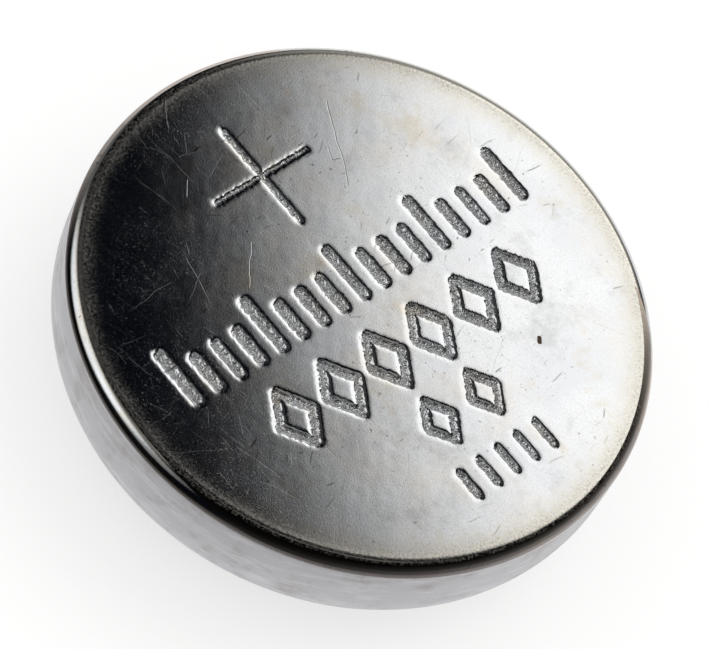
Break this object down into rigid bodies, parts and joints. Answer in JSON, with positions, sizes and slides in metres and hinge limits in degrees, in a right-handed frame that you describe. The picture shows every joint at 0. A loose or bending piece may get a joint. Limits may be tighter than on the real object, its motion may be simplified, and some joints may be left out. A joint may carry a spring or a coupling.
{
  "type": "lithium coin cell",
  "caption": "Round flat metal battery cell with a stamped positive face, a rounded crimped edge and a raised negative cap underneath.",
  "frame": {"origin": "middle of the negative cap's contact face, which the cell lies on", "axes": "+Z along the cell's axis towards the positive face, +X along the stamped rows, +Y towards the stamped plus sign"},
  "size_m": [0.0116, 0.0116, 0.003],
  "materials": {
    "can_plate": "satin nickel plate, lightly scratched",
    "cap_plate": "matte nickel plate",
    "gasket_plastic": "moulded natural polypropylene",
    "cathode_mix": "pressed powder",
    "ring_steel": "bare stamped stainless sheet",
    "separator_fleece": "calendered nonwoven polypropylene",
    "lithium_metal": "soft rolled metal, dull"
  },
  "bodies": {
    "root": {"positive_can": "can_plate", "negative_cap": "cap_plate", "gasket": "gasket_plastic", "cathode_pellet": "cathode_mix", "cathode_ring": "ring_steel", "separator": "separator_fleece", "lithium_anode": "lithium_metal"}
  },
  "joints": []
}
